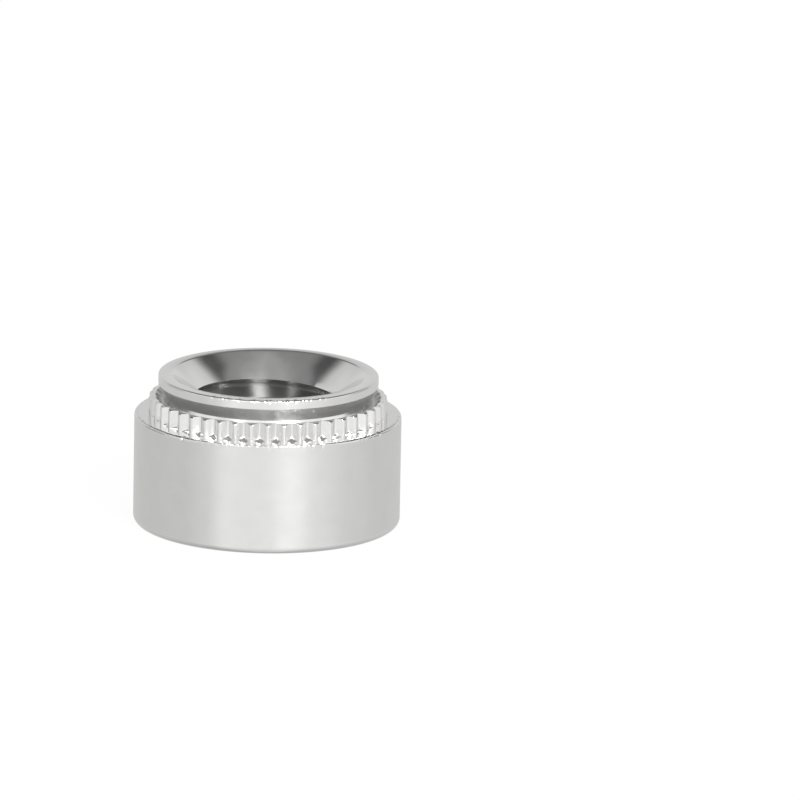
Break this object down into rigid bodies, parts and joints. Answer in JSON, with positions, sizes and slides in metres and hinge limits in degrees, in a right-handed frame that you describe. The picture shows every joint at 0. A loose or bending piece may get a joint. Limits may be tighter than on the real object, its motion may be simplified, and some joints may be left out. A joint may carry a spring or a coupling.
{
  "type": "self clinching nut",
  "caption": "Round self-clinching nut with a threaded bore, a knurled clinch ring and a back-tapered pilot, pressed into a punched hole to give sheet metal a strong thread.",
  "frame": {"origin": "centre of the flat seat that the nut stands on", "axes": "+Z along the thread, from the seat towards the pilot; X and Y are any two directions across the round body"},
  "size_m": [0.0126, 0.0126, 0.0072],
  "materials": {
    "plated_steel": "bright zinc plating over turned and knurled steel"
  },
  "bodies": {
    "root": {"clinch_nut": "plated_steel"}
  },
  "joints": []
}
